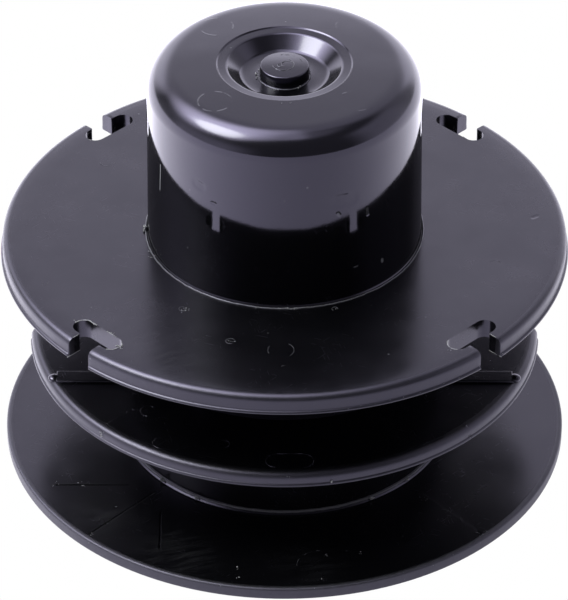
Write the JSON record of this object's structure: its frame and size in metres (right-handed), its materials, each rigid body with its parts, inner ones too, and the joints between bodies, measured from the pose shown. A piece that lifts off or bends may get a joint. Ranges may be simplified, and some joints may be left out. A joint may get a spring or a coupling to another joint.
{
  "type": "bump-feed trimmer string reel",
  "caption": "Flanged reel for the cutting line of a bump-feed grass trimmer, with a divider, slotted upper flange, tall hollow bump knob, index lugs and a sprung arbor seat.",
  "frame": {"origin": "centre of the lower flange's flat underside, on the reel's axis", "axes": "+Z along the reel's axis from the lower flange to the bump knob's crown; +X through the right-hand line notch of the divider"},
  "size_m": [0.0903, 0.0902, 0.0698],
  "materials": {
    "reel_plastic": "glossy moulded black nylon with fine scuffs",
    "knob_plastic": "glossy wall and satin crown, moulded black nylon",
    "seat_plastic": "dark grey acetal",
    "spring_wire": "drawn spring wire"
  },
  "bodies": {
    "reel": {"lower_flange": "reel_plastic", "winding_core": "reel_plastic", "divider_flange": "reel_plastic", "upper_flange": "reel_plastic", "bump_knob": "knob_plastic", "lower_index_ring": "reel_plastic", "upper_index_ring": "reel_plastic", "spring": "spring_wire"},
    "seat": {"spring_seat": "seat_plastic"}
  },
  "joints": [
    {"name": "bump_travel", "type": "slide", "parent": "reel", "child": "seat", "axis": [0, 0, 1], "range_m": [0, 0.007], "stiffness_N_per_m": 1500, "springref_m": -0.008, "deforming": ["spring"]}
  ]
}
